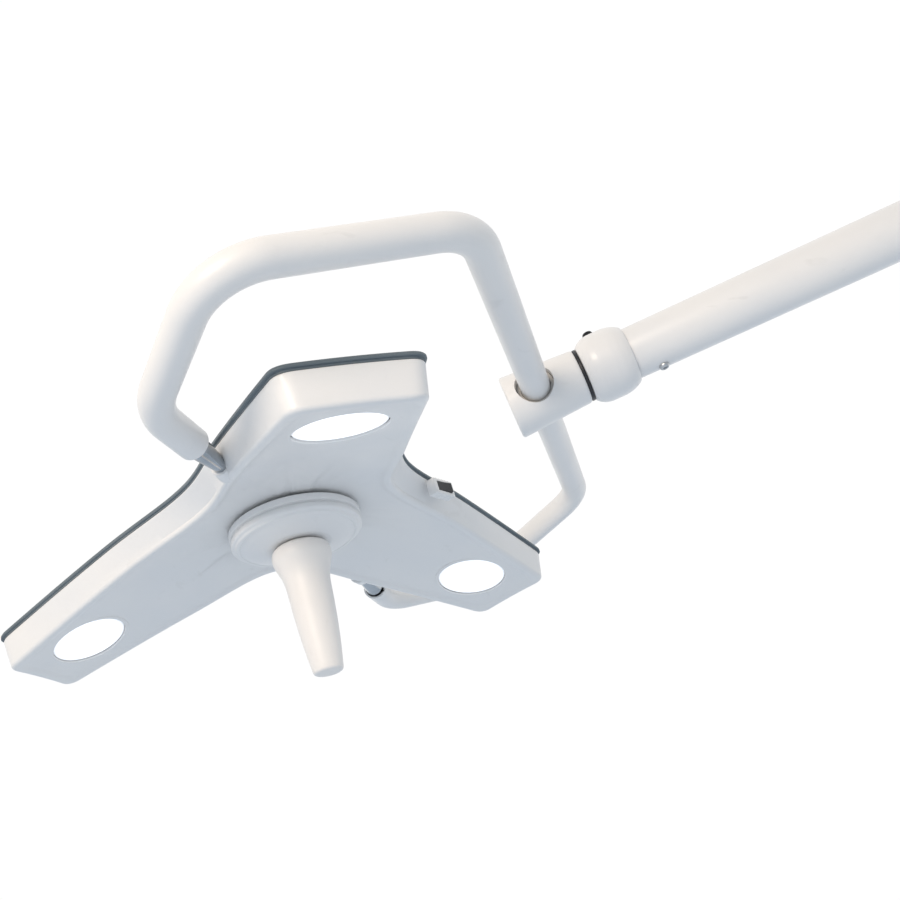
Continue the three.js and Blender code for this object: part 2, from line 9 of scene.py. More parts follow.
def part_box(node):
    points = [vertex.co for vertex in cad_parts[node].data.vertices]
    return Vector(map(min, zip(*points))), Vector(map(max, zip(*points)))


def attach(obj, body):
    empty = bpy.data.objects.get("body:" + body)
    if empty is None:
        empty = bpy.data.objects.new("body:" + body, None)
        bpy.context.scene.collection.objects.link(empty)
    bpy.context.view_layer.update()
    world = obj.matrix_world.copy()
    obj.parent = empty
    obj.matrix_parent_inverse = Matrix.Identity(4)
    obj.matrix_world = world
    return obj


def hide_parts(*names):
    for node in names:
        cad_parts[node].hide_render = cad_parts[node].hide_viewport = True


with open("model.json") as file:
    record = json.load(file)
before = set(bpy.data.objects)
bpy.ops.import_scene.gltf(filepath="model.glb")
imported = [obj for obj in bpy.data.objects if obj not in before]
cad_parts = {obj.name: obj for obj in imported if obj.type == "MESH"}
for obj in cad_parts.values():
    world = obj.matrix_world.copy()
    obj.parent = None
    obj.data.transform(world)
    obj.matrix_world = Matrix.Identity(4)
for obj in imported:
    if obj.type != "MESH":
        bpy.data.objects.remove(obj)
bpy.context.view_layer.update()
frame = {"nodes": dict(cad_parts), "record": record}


# ---- Room -----------------------------------------------------------------------------
# The light is hung from a wall, so the room is only a pale floor below it, a surround that is
# white on one side and cool grey on the other, and one soft lamp: a warm key from the operator's side.
def soft_lamp(name, place, target, size, watts, colour):
    data = bpy.data.lights.new(name, "AREA")
    data.shape = "DISK"
    data.size = size
    data.energy = watts
    data.color = colour
    lamp = bpy.data.objects.new(name, data)
    bpy.context.scene.collection.objects.link(lamp)
    lamp.location = place
    lamp.rotation_euler = (Vector(target) - Vector(place)).to_track_quat("-Z", "Y").to_euler()


HEAD_CENTRE = Vector((-0.82, 0.0, -0.20))
camera_data = bpy.data.cameras.new("view")
camera_data.sensor_width = 36.0
camera_data.lens = 38.35
camera_data.shift_x = 0.1056
camera_data.shift_y = 0.0999
camera_data.clip_start = 0.05
camera = bpy.data.objects.new("view", camera_data)
camera.location = (-0.4995, -0.7532, -0.4565)
camera.rotation_euler = [math.radians(angle) for angle in (108.43, 0.0, 19.82)]
bpy.context.scene.collection.objects.link(camera)
bpy.context.scene.camera = camera

soft_lamp("key", (-1.25, -2.05, 0.2), HEAD_CENTRE, 0.9, 30, (1.0, 0.85, 0.70))

world = bpy.data.worlds.new("surround")
bpy.context.scene.world = world
world.use_nodes = True
sky = world.node_tree
heading = sky.nodes.new("ShaderNodeSeparateXYZ")
sky.links.new(sky.nodes.new("ShaderNodeTexCoord").outputs["Generated"], heading.inputs["Vector"])
sweep_range = sky.nodes.new("ShaderNodeMapRange")
sweep_range.inputs["From Min"].default_value = -0.25
sweep_range.inputs["From Max"].default_value = 0.15
sky.links.new(heading.outputs["Y"], sweep_range.inputs["Value"])
sky_mix = sky.nodes.new("ShaderNodeMix")
sky_mix.data_type = "RGBA"
sky_mix.inputs["A"].default_value = (0.50, 0.535, 0.57, 1)
sky_mix.inputs["B"].default_value = (1.02, 1.02, 1.02, 1)
sky.links.new(sweep_range.outputs["Result"], sky_mix.inputs["Factor"])
sky.links.new(sky_mix.outputs["Result"], sky.nodes["Background"].inputs["Color"])
bpy.context.scene.view_settings.view_transform = "Standard"

FLOOR_HEIGHT = -1.35
FLOOR_HALF_SIZE = 6.0
floor_mesh = bpy.data.meshes.new("floor")
floor_bm = bmesh.new()
bmesh.ops.create_grid(floor_bm, x_segments=1, y_segments=1, size=FLOOR_HALF_SIZE)
bmesh.ops.translate(floor_bm, verts=floor_bm.verts, vec=(0, 0, FLOOR_HEIGHT))
floor_bm.to_mesh(floor_mesh)
floor_bm.free()
floor = bpy.data.objects.new("floor", floor_mesh)
bpy.context.scene.collection.objects.link(floor)
floor_paint = bpy.data.materials.new("floor_paint")
floor_paint.use_nodes = True
floor_shader = floor_paint.node_tree.nodes["Principled BSDF"]
floor_shader.inputs["Base Color"].default_value = (0.66, 0.74, 0.84, 1)
floor_shader.inputs["Roughness"].default_value = 0.8
floor.data.materials.append(floor_paint)


# ---- Wall bracket ---------------------------------------------------------------------
# One aluminium casting, powder coated warm white: a plate for four screws, a web and a
# sleeve for the swivel. The coat has a fine orange peel and polishes where hands reach.
class Recipe:
    """Builds a procedural material on Object coordinates, node by node."""

    def __init__(self, name, colour, roughness, metallic=0.0):
        self.material = bpy.data.materials.new(name)
        self.material.use_nodes = True
        self.tree = self.material.node_tree
        self.shader = self.tree.nodes["Principled BSDF"]
        self.shader.inputs["Metallic"].default_value = metallic
        self.coords = self.tree.nodes.new("ShaderNodeTexCoord").outputs["Object"]
        self.colour = colour
        self.roughness = roughness
        self.height = None

    def noise(self, scale, detail=4.0, stretch=None, distortion=0.0):
        node = self.tree.nodes.new("ShaderNodeTexNoise")
        node.inputs["Scale"].default_value = scale
        node.inputs["Detail"].default_value = detail
        node.inputs["Distortion"].default_value = distortion
        source = self.coords
        if stretch:
            mapping = self.tree.nodes.new("ShaderNodeMapping")
            mapping.inputs["Scale"].default_value = stretch
            self.tree.links.new(source, mapping.inputs["Vector"])
            source = mapping.outputs["Vector"]
        self.tree.links.new(source, node.inputs["Vector"])
        return node.outputs["Fac"]

    def ramp(self, source, low, high, start=0.3, end=0.7):
        node = self.tree.nodes.new("ShaderNodeMapRange")
        node.inputs["From Min"].default_value = start
        node.inputs["From Max"].default_value = end
        node.inputs["To Min"].default_value = low
        node.inputs["To Max"].default_value = high
        self.tree.links.new(source, node.inputs["Value"])
        return node.outputs["Result"]

    def mottle(self, source, other, low=0.35, high=0.7):
        """Base colour drifts from the main colour to another one by a mask."""
        node = self.tree.nodes.new("ShaderNodeMix")
        node.data_type = "RGBA"
        self.tree.links.new(self.ramp(source, 0.0, 1.0, low, high), node.inputs["Factor"])
        node.inputs["A"].default_value = (*self.colour, 1)
        node.inputs["B"].default_value = (*other, 1)
        self.tree.links.new(node.outputs["Result"], self.shader.inputs["Base Color"])
        self.tone = node.outputs["Result"]

    def wear(self, stain, scale, strength, stretch, start=0.64):
        """Sparse rubbed or scuffed marks of another tone over the mottled base."""
        node = self.tree.nodes.new("ShaderNodeMix")
        node.data_type = "RGBA"
        marks = self.ramp(self.noise(scale, 8.0, stretch, 0.6), 0.0, strength, start, start + 0.08)
        self.tree.links.new(marks, node.inputs["Factor"])
        self.tree.links.new(self.tone, node.inputs["A"])
        node.inputs["B"].default_value = (*stain, 1)
        self.tree.links.new(node.outputs["Result"], self.shader.inputs["Base Color"])

    def rough(self, source, spread):
        result = self.ramp(source, self.roughness - spread, self.roughness + spread)
        self.tree.links.new(result, self.shader.inputs["Roughness"])

    def bump(self, source, distance, strength=1.0):
        node = self.tree.nodes.new("ShaderNodeBump")
        node.inputs["Distance"].default_value = distance
        node.inputs["Strength"].default_value = strength
        self.tree.links.new(source, node.inputs["Height"])
        if self.height:
            self.tree.links.new(self.height, node.inputs["Normal"])
        self.height = node.outputs["Normal"]
        self.tree.links.new(self.height, self.shader.inputs["Normal"])


def coated(name, colour, dust, roughness):
    """Powder coat: orange peel, slow tone drift, patches polished by handling, fine specks."""
    recipe = Recipe(name, colour, roughness)
    recipe.mottle(recipe.noise(9.0, 5.0), dust)
    recipe.wear([c * 0.82 for c in colour], 26.0, 0.35, (1.0, 1.0, 3.0))
    recipe.rough(recipe.noise(22.0, 6.0), 0.07)
    recipe.bump(recipe.noise(420.0, 2.0), 0.00012, 0.3)
    recipe.bump(recipe.noise(60.0, 3.0), 0.0003, 0.1)
    recipe.shader.inputs["Coat Weight"].default_value = 0.12
    recipe.shader.inputs["Coat Roughness"].default_value = 0.18
    return recipe.material


arm_coat = coated("arm_coat", (0.80, 0.785, 0.765), (0.76, 0.755, 0.75), 0.38)


def mesh_piece(name, bm, material, body, stands_for=(), smooth_angle=35):
    """Turns a finished bmesh into a piece that rides on a body."""
    mesh = bpy.data.meshes.new(name)
    bm.to_mesh(mesh)
    bm.free()
    mesh.materials.append(material)
    piece = bpy.data.objects.new(name, mesh)
    bpy.context.scene.collection.objects.link(piece)
    mesh.shade_smooth()
    mesh.set_sharp_from_angle(angle=math.radians(smooth_angle))
    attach(piece, body)
    if stands_for:
        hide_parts(*stands_for)
    return piece


def spin_profile(bm, profile, steps=96):
    """Closed body of revolution about Z from (radius, height) pairs in mm. A profile that starts
    off the axis is closed on itself."""
    points = [Vector((r / 1000, 0, z / 1000)) for r, z in profile]
    verts = [bm.verts.new(p) for p in points]
    loop = profile[0][0] > 0
    pairs = list(zip(verts, verts[1:]))
    if loop:
        pairs.append((verts[-1], verts[0]))
    edges = [bm.edges.new(pair) for pair in pairs]
    bmesh.ops.spin(bm, geom=verts + edges, axis=(0, 0, 1), cent=(0, 0, 0), angle=math.tau,
                   steps=steps, use_merge=True)
    bmesh.ops.remove_doubles(bm, verts=bm.verts, dist=1e-7)


def rounded(profile, radius=0.6, steps=3):
    """Profile with its inner corners eased: each sharp corner off the axis becomes a short arc."""
    closed = profile[0][0] > 0
    count = len(profile)
    result = []
    for i, here in enumerate(profile):
        here = Vector(here)
        if not closed and i in (0, count - 1) or here.x <= 0:
            result.append(tuple(here))
            continue
        before = Vector(profile[i - 1]) - here
        after = Vector(profile[(i + 1) % count]) - here
        reach = min(radius, before.length * 0.45, after.length * 0.45)
        start = here + before.normalized() * reach
        end = here + after.normalized() * reach
        for k in range(steps + 1):
            t = k / steps
            result.append(tuple(start * (1 - t) ** 2 + here * 2 * t * (1 - t) + end * t ** 2))
    return result


def spun(profile, place, ease=0.6, steps=96):
    """Bmesh of a turned piece, put in place by a matrix."""
    bm = bmesh.new()
    spin_profile(bm, rounded(profile, ease), steps)
    bmesh.ops.recalc_face_normals(bm, faces=bm.faces)
    bm.transform(place)
    return bm


def add_box(bm, low, high, ease, place=Matrix.Identity(4), segments=3):
    """Block with eased edges, corners given in mm."""
    size = [(b - a) / 1000 for a, b in zip(low, high)]
    centre = Vector([(a + b) / 2000 for a, b in zip(low, high)])
    made = bmesh.ops.create_cube(bm, size=1.0)
    verts = made["verts"]
    bmesh.ops.scale(bm, vec=size, verts=verts)
    edges = list({e for v in verts for e in v.link_edges})
    if ease > 0:
        made = bmesh.ops.bevel(bm, geom=edges, offset=ease / 1000, offset_type="OFFSET", segments=segments,
                               profile=0.5, affect="EDGES", material=-1, clamp_overlap=True)
        verts = list({v for f in made["faces"] for v in f.verts} | {v for v in verts if v.is_valid})
    bmesh.ops.transform(bm, matrix=place @ Matrix.Translation(centre), verts=verts)


def join(bm, part):
    """Moves one bmesh's geometry into another."""
    mesh = bpy.data.meshes.new("join")
    part.to_mesh(mesh)
    part.free()
    bm.from_mesh(mesh)
    bpy.data.meshes.remove(mesh)


def add_spun(bm, profile, place, ease=0.6, steps=96):
    """Joins a turned body to a bmesh."""
    join(bm, spun(profile, place, ease, steps))


JOINTS = {joint["name"]: joint for joint in frame["record"]["behaviour"]["joints"]}
POST = Vector(JOINTS["wall_swivel"]["pos_m"])
PIVOT = Vector(JOINTS["arm_rise"]["pos_m"])
HUB = Vector(JOINTS["hub_roll"]["pos_m"])
TURN_X = Matrix.Rotation(math.pi / 2, 4, "Y")
TURN_Y = Matrix.Rotation(-math.pi / 2, 4, "X")

bracket = bmesh.new()
add_box(bracket, (-12, -60, -80), (0, 60, 80), 3.0)
add_box(bracket, (-70, -8, -36), (-11, 8, 24), 2.5)
add_spun(bracket, [(15.3, -40), (22, -40), (22, 28.4), (15.3, 28.4)], Matrix.Translation(POST), 1.5)
add_spun(bracket, [(20, -30), (24.0, -29), (24.0, -25), (20, -24)], Matrix.Translation(POST), 1.5)
mesh_piece("bracket_casting", bracket, arm_coat, "wall", ["wall_bracket"])


def screw_head(bm, place, radius, height, socket, depth):
    """Domed cap screw with a hexagon socket, its head standing up along the matrix's Z."""
    part = spun([(0, height - depth), (socket, height - depth), (socket, height),
                 (radius * 0.8, height), (radius, height * 0.55), (radius, 0), (0, 0)],
                Matrix.Identity(4), 0.5, 48)
    for v in part.verts:
        flat = math.hypot(v.co.x, v.co.y)
        if v.co.z > (height - depth - 0.05) / 1000 and 0.3 * socket / 1000 < flat < 1.12 * socket / 1000:
            turn = (math.atan2(v.co.y, v.co.x) + math.pi / 6) % (math.pi / 3) - math.pi / 6
            reach = 0.93 / math.cos(turn)
            v.co.x *= reach
            v.co.y *= reach
    part.transform(place)
    join(bm, part)


def machined(name, colour, roughness, metallic, stretch):
    """Turned or brushed metal: long fine scratches, blotchy polish, a darker tone in places."""
    recipe = Recipe(name, colour, roughness, metallic)
    scratches = recipe.noise(70.0, 8.0, stretch)
    recipe.mottle(recipe.noise(40.0, 5.0), [c * 0.8 for c in colour])
    recipe.wear([c * 0.55 for c in colour], 90.0, 0.5, stretch)
    recipe.rough(recipe.noise(55.0, 6.0), 0.1)
    recipe.bump(scratches, 0.0002, 0.25)
    return recipe.material


screw_steel = machined("screw_steel", (0.62, 0.63, 0.64), 0.34, 1.0, (1, 1, 12))
PLATE_FRONT = 0.0122
for number in (1, 2, 3, 4):
    node = f"wall_screw_{number}"
    low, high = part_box(node)
    middle = (low + high) / 2
    screw = bmesh.new()
    seat = Matrix.Translation((-PLATE_FRONT, middle.y, middle.z)) @ Matrix.Rotation(-math.pi / 2, 4, "Y")
    screw_head(screw, seat, 8.0, 5.0, 3.6, 2.6)
    mesh_piece(f"plate_screw_{number}", screw, screw_steel, "wall", [node])


# ---- Swivel ---------------------------------------------------------------------------
# A forked casting in the same coat turns on its spigot in the wall sleeve, over a black
# washer. A steel pin with a socket head crosses the fork and carries the arm.
def tongue(bm, radius, reach, low, high, place, ease=1.0):
    """Plate with one round end about the origin and a square end at -reach on X, thick along Z."""
    made = bmesh.ops.create_circle(bm, cap_ends=True, segments=72, radius=radius / 1000)
    verts = made["verts"]
    for v in verts:
        if v.co.x < -1e-6:
            v.co.x = -reach / 1000
    bmesh.ops.translate(bm, verts=verts, vec=(0, 0, low / 1000))
    cap = list({f for v in verts for f in v.link_faces})
    made = bmesh.ops.extrude_face_region(bm, geom=cap, use_keep_orig=True)
    top = [v for v in made["geom"] if isinstance(v, bmesh.types.BMVert)]
    bmesh.ops.translate(bm, verts=top, vec=(0, 0, (high - low) / 1000))
    faces = {f for v in verts + top for f in v.link_faces}
    rims = [e for e in {e for f in faces for e in f.edges} if any(len(f.verts) > 8 for f in e.link_faces)]
    made = bmesh.ops.bevel(bm, geom=rims, offset=ease / 1000, offset_type="OFFSET", segments=3, profile=0.5,
                           affect="EDGES", material=-1, clamp_overlap=True)
    whole = {v for v in verts + top if v.is_valid} | {v for f in made["faces"] for v in f.verts}
    whole |= {v for f in {f for v in whole for f in v.link_faces} for v in f.verts}
    bmesh.ops.transform(bm, matrix=place, verts=list(whole))
    bmesh.ops.recalc_face_normals(bm, faces=list({f for v in whole for f in v.link_faces}))


fork = bmesh.new()
UPRIGHT = Matrix.Rotation(math.pi / 2, 4, "X") @ Matrix.Rotation(math.pi / 2, 4, "Z")
for side in (-1, 1):
    tongue(fork, 20, 58, min(9.5 * side, 17.5 * side), max(9.5 * side, 17.5 * side),
           Matrix.Translation(PIVOT) @ UPRIGHT, 1.4)
add_spun(fork, [(0, -64), (22, -64), (22, -56), (0, -56)], Matrix.Translation(PIVOT), 1.5)
add_spun(fork, [(0, -141), (11, -141), (12, -139.5), (12, -63), (0, -63)], Matrix.Translation(PIVOT), 0.4)
mesh_piece("swivel_casting", fork, arm_coat, "swivel", ["swivel_fork"])

pin = bmesh.new()
near_side = Matrix.Translation(PIVOT) @ Matrix.Rotation(math.pi / 2, 4, "X")
screw_head(pin, near_side @ Matrix.Translation((0, 0, 0.0179)), 11.0, 4.1, 4.6, 2.4)
add_spun(pin, [(0, -17), (8, -17), (8, 17), (0, 17)], near_side, 0.4)
mesh_piece("hinge_pin", pin, screw_steel, "swivel", ["pivot_pin"])


# ---- Arm ------------------------------------------------------------------------------
# Drawn aluminium tube with the same coat. A machined knuckle plugs its wall end, and a
# rounded collar with a brake screw and a black friction ring closes its lamp end.
ARM_RISE = math.radians(18)
ARM = Matrix.Translation(HUB) @ Matrix.Rotation(-ARM_RISE, 4, "Y")
ARM_ALONG = ARM @ TURN_X
tube = spun([(20.25, 75), (22.25, 75), (22.25, 484.7), (20.25, 484.7)], ARM_ALONG, 0.6, 128)
mesh_piece("arm_pipe", tube, arm_coat, "arm", ["arm_tube"])

alloy = machined("machined_alloy", (0.66, 0.67, 0.68), 0.38, 1.0, (1, 10, 10))
knuckle = bmesh.new()
add_spun(knuckle, [(0, 470), (19.9, 470), (19.9, 485), (22.25, 485), (22.25, 489), (18, 492.5), (0, 492.5)],
         ARM_ALONG, 0.6)
at_pivot = ARM @ Matrix.Translation((0.56, 0, 0)) @ Matrix.Rotation(math.pi / 2, 4, "X")
tongue(knuckle, 18, 68, -8, 8, at_pivot, 1.2)
mesh_piece("knuckle", knuckle, alloy, "arm", ["arm_knuckle"])

collar = spun([(15.3, 42), (23.5, 42), (26.5, 45), (29, 49.5), (30, 54), (30, 67), (29, 73), (27, 78),
               (24.3, 82), (22.6, 82), (22.55, 74.7), (15.3, 74.7)], ARM_ALONG, 1.6, 128)
mesh_piece("collar", collar, arm_coat, "arm", ["arm_collar"], 50)


def moulded(name, colour, other, roughness, grain=700.0):
    """Moulded plastic: fine spark-eroded grain, slow tone drift and rubbed patches."""
    recipe = Recipe(name, colour, roughness)
    recipe.mottle(recipe.noise(12.0, 6.0), other)
    recipe.wear([c * 0.85 for c in colour], 34.0, 0.3, (2.5, 1.0, 1.0))
    recipe.rough(recipe.noise(30.0, 7.0), 0.08)
    recipe.bump(recipe.noise(grain, 2.0), 0.0002, 0.3)
    return recipe.material


black = moulded("black_moulding", (0.012, 0.013, 0.016), (0.03, 0.031, 0.034), 0.42)
rim = spun([(10, 39.3), (23.2, 39.3), (23.2, 41.7), (10, 41.7)], ARM_ALONG, 0.5, 96)
mesh_piece("friction_seal", rim, black, "arm", ["friction_ring"])

oxide = machined("black_oxide_steel", (0.02, 0.021, 0.024), 0.4, 0.8, (1, 1, 8))
brake = bmesh.new()
screw_head(brake, ARM @ Matrix.Translation((0.058, 0, 0.0296)), 5.0, 6.0, 2.5, 3.0)
mesh_piece("brake_cap_screw", brake, oxide, "arm", ["brake_screw"])
keeper = bmesh.new()
under = ARM @ Matrix.Translation((0.102, 0, -0.0219)) @ Matrix.Rotation(math.pi, 4, "X")
screw_head(keeper, under, 4.2, 3.3, 1.9, 1.6)
mesh_piece("collar_set_screw", keeper, screw_steel, "arm", ["collar_screw"])


# ---- Hub ------------------------------------------------------------------------------
# A cast barrel on the arm's spindle, wider at its free end, bored across for the yoke bar.
# Same coat; the free end is closed by a pressed cap set a little way in.
def cut_away(body_bm, tool_bm):
    """Subtracts one closed bmesh from another and returns the result as a new bmesh."""
    objects = []
    for label, source in (("stock", body_bm), ("cutter", tool_bm)):
        mesh = bpy.data.meshes.new(label)
        source.to_mesh(mesh)
        source.free()
        obj = bpy.data.objects.new(label, mesh)
        bpy.context.scene.collection.objects.link(obj)
        objects.append(obj)
    stock, cutter = objects
    modifier = stock.modifiers.new("cut", "BOOLEAN")
    modifier.operation = "DIFFERENCE"
    modifier.solver = "EXACT"
    modifier.object = cutter
    bpy.context.view_layer.update()
    result = bmesh.new()
    result.from_object(stock, bpy.context.evaluated_depsgraph_get())
    for obj in objects:
        mesh = obj.data
        bpy.data.objects.remove(obj)
        bpy.data.meshes.remove(mesh)
    return result


barrel = spun([(9.6, -23), (24, -23), (24, -26), (26.5, -26), (28, -24.5), (23.9, 37), (22.9, 39), (9.6, 39)],
              ARM_ALONG, 0.7, 128)
bore = spun([(0, -40), (16.4, -40), (16.4, 40), (0, 40)], ARM @ TURN_Y, 0.01, 96)
mesh_piece("hub_barrel", cut_away(barrel, bore), arm_coat, "hub", ["hub_body"], 30)
cap = spun([(0, -24.9), (20, -25.3), (23.5, -24.6), (23.5, -23.4), (0, -23.4)], ARM_ALONG, 0.8, 96)
mesh_piece("hub_cap", cap, arm_coat, "hub", ["hub_end_cap"])
nylon = moulded("bearing_nylon", (0.56, 0.55, 0.53), (0.5, 0.49, 0.47), 0.5)
for side, node in ((-1, "bar_bush_near"), (1, "bar_bush_far")):
    heights = sorted((5.0 * side, 17.0 * side))
    bush = spun([(12.85, heights[0]), (16.1, heights[0]), (16.1, heights[1]), (12.85, heights[1])],
                ARM @ TURN_Y, 0.5, 96)
    mesh_piece(f"hub_{node}", bush, nylon, "hub", [node])


# ---- Yoke -----------------------------------------------------------------------------
# One length of 25 mm steel tube, bent four times and coated, with its open ends turned
# inwards round the head's tilt pivots.
YOKE_RISE = math.radians(24)
YOKE = Matrix.Translation(HUB) @ Matrix.Rotation(-YOKE_RISE, 4, "Y")
YOKE_RADIUS = 12.5
YOKE_WALL = 2.0
YOKE_BEND = 50.0
YOKE_CORNERS = [(-239, 202), (-239, 259.5), (-147.3, 342.9), (0, 246.5),
                (0, -246.5), (-147.3, -342.9), (-239, -259.5), (-239, -202)]


def sweep(bm, radius, corners, bend):
    """Round skin along a flat path in XY with bent corners. Returns its first and last loops."""
    points = [Vector((x / 1000, y / 1000, 0)) for x, y in corners]
    bend = bend / 1000
    made = bmesh.ops.create_circle(bm, segments=56, radius=radius / 1000)
    verts = made["verts"]
    heading = (points[1] - points[0]).normalized()
    facing = heading.to_track_quat("Z", "Y").to_matrix().to_4x4()
    bmesh.ops.transform(bm, matrix=Matrix.Translation(points[0]) @ facing, verts=verts)
    loop = list({e for v in verts for e in v.link_edges})
    first = list(loop)
    here = points[0]
    for corner, beyond in zip(points[1:], points[2:] + [None]):
        heading = (corner - here).normalized()
        if beyond is None:
            setback = 0.0
        else:
            turned = (beyond - corner).normalized()
            angle = heading.angle(turned)
            setback = bend * math.tan(angle / 2)
        run = (corner - here).length - setback
        pieces = max(1, round(run / 0.03))
        for _ in range(pieces):
            made = bmesh.ops.extrude_edge_only(bm, edges=loop)
            moved = [g for g in made["geom"] if isinstance(g, bmesh.types.BMVert)]
            loop = [g for g in made["geom"] if isinstance(g, bmesh.types.BMEdge)]
            bmesh.ops.translate(bm, verts=moved, vec=heading * (run / pieces))
        here = corner - heading * setback
        if beyond is None:
            break
        inward = (turned - heading * turned.dot(heading)).normalized()
        axis = heading.cross(turned).normalized()
        steps = max(4, round(math.degrees(angle) / 4))
        made = bmesh.ops.spin(bm, geom=loop, cent=here + inward * bend, axis=axis, dvec=(0, 0, 0),
                              angle=angle, steps=steps, use_merge=False)
        loop = [g for g in made["geom_last"] if isinstance(g, bmesh.types.BMEdge)]
        here = corner + turned * setback
    return first, loop


yoke = bmesh.new()
outer_first, outer_last = sweep(yoke, YOKE_RADIUS, YOKE_CORNERS, YOKE_BEND)
inner_first, inner_last = sweep(yoke, YOKE_RADIUS - YOKE_WALL, YOKE_CORNERS, YOKE_BEND)
bmesh.ops.bridge_loops(yoke, edges=outer_first + inner_first)
bmesh.ops.bridge_loops(yoke, edges=outer_last + inner_last)
bmesh.ops.recalc_face_normals(yoke, faces=yoke.faces)
yoke.transform(YOKE)
mesh_piece("yoke_pipe", yoke, arm_coat, "yoke", ["yoke_tube"])


# ---- Head shell -----------------------------------------------------------------------
# Moulded in satin warm white plastic: three broad lobes round a shallow dish, a rounded
# rim, walls that lean out to the back edge, and a round window in each lobe.
HEAD_RISE = math.radians(14.3)
HEAD_ORIGIN = (-0.820682, 0, -0.202544)
HEAD = Matrix.Translation(HEAD_ORIGIN) @ Matrix.Rotation(-HEAD_RISE, 4, "Y")
TIP_REACH = 284.0
TIP_HALF_WIDTH = 47.0
TIP_CORNER = 12.0
SIDE_REACH = 150.0


def half_lobe(grow, side_half, notch):
    """Half of a lobe's outline in its own axes, mm: rounded tip, straight side, curve to the notch."""
    tip = Vector((TIP_REACH + grow, TIP_HALF_WIDTH + grow))
    side = Vector((SIDE_REACH, side_half + grow))
    valley = Vector((0.5, math.sqrt(3) / 2)) * (notch + grow)
    along = (side - tip).normalized()
    reach = (side - valley).length
    start = tip - Vector((0, TIP_CORNER))
    end = tip + along * TIP_CORNER
    points = [Vector((tip.x, start.y * k / 6)) for k in range(6)]
    for k in range(11):
        t = k / 10
        points.append(start * (1 - t) ** 2 + tip * 2 * t * (1 - t) + end * t ** 2)
    points += [end.lerp(side, k / 6) for k in range(1, 6)]
    near = side + along * 0.45 * reach
    far = valley + Vector((math.sqrt(3) / 2, -0.5)) * 0.3 * reach
    for k in range(25):
        t = k / 24
        points.append(side * (1 - t) ** 3 + near * 3 * t * (1 - t) ** 2 + far * 3 * t * t * (1 - t)
                      + valley * t ** 3)
    return points


def outline(grow, side_half, notch):
    """The whole three-lobed outline, anticlockwise, in mm."""
    half = half_lobe(grow, side_half, notch)
    points = []
    for degrees in (60, 180, 300):
        along = Vector((math.cos(math.radians(degrees)), math.sin(math.radians(degrees))))
        across = Vector((-along.y, along.x))
        points += [along * p.x - across * p.y for p in reversed(half[1:-1])]
        points += [along * p.x + across * p.y for p in half]
    return points


def rim_outline(grow):
    return outline(grow, 69, 100)


def back_outline(grow):
    return outline(grow, 74, 112)


def back_height(r):
    return 8 + 0.265 * (TIP_REACH - math.hypot(r, 40))


def rim_height(r):
    return back_height(r) - 23 - 0.0326 * (max(r, 100) - 100)


def dish_height(r):
    return min(rim_height(r) + 2, 39 + 0.02 * (60 - r))


def raised(points, height):
    return [Vector((p.x, p.y, height(p.length))) / 1000 for p in points]


def between(low, high, share, height):
    """Ring part of the way from one outline to another, at a height of its own."""
    return raised([a.lerp(b, share) for a, b in zip(low, high)], height)


def loft(bm, rings, closed):
    """Skins a list of rings that have the same number of points, by pushing out one circle."""
    count = len(rings[0])
    order = bm.verts.layers.int.new("order")
    made = bmesh.ops.create_circle(bm, segments=count, radius=0.1)
    verts = made["verts"]
    verts.sort(key=lambda v: math.atan2(v.co.y, v.co.x))
    ring = sorted(range(count), key=lambda k: math.atan2(rings[0][k].y, rings[0][k].x))
    for v, k in zip(verts, ring):
        v[order] = k
        v.co = rings[0][k]
    loop = list({e for v in verts for e in v.link_edges})
    first = list(loop)
    for points in rings[1:]:
        made = bmesh.ops.extrude_edge_only(bm, edges=loop)
        loop = [g for g in made["geom"] if isinstance(g, bmesh.types.BMEdge)]
        for v in [g for g in made["geom"] if isinstance(g, bmesh.types.BMVert)]:
            v.co = points[v[order]]
    if closed:
        bmesh.ops.bridge_loops(bm, edges=first + loop)
    else:
        bmesh.ops.contextual_create(bm, geom=first)
        bmesh.ops.contextual_create(bm, geom=loop)
    bmesh.ops.recalc_face_normals(bm, faces=bm.faces)


SHELL_WALL = 2.5
core = [p * 0.16 for p in rim_outline(-14)]
flat_edge = rim_outline(-12)
rim_inner = rim_outline(-6.5)
rings = [raised(core, dish_height)]
for share in (0.2, 0.4, 0.6, 0.8, 0.94, 1.0):
    rings.append(between(core, flat_edge, share, dish_height))
for share, drop in ((0.25, 0.3), (0.5, 1.0), (0.75, 1.7), (1.0, 2.0)):
    rings.append(between(flat_edge, rim_inner, share, lambda r, d=drop: dish_height(r) * (1 - d / 2)
                         + rim_height(r) * d / 2))
EDGE_ROUND = 5.0
for k in range(1, 8):
    swing = k / 7 * math.pi / 2
    rings.append(raised(rim_outline(-EDGE_ROUND + EDGE_ROUND * math.sin(swing)),
                        lambda r, s=swing: rim_height(r) + EDGE_ROUND * (1 - math.cos(s))))
wall_low = raised(rim_outline(0), lambda r: rim_height(r) + EDGE_ROUND)
wall_high = raised(back_outline(3), back_height)
for share in (0.3, 0.65, 0.96):
    rings.append([a.lerp(b, share) for a, b in zip(wall_low, wall_high)])
rings.append(raised(back_outline(2.6), back_height))
rings.append(raised(back_outline(3 - SHELL_WALL), back_height))
rings.append(raised(rim_outline(-SHELL_WALL), lambda r: rim_height(r) + 6))
rings.append(raised(rim_outline(-6), lambda r: rim_height(r) + SHELL_WALL + 0.5))
for share in (1.0, 0.8, 0.5, 0.2, 0.0):
    rings.append(between(core, flat_edge, share, lambda r: dish_height(r) + SHELL_WALL))
shell = bmesh.new()
loft(shell, rings, True)

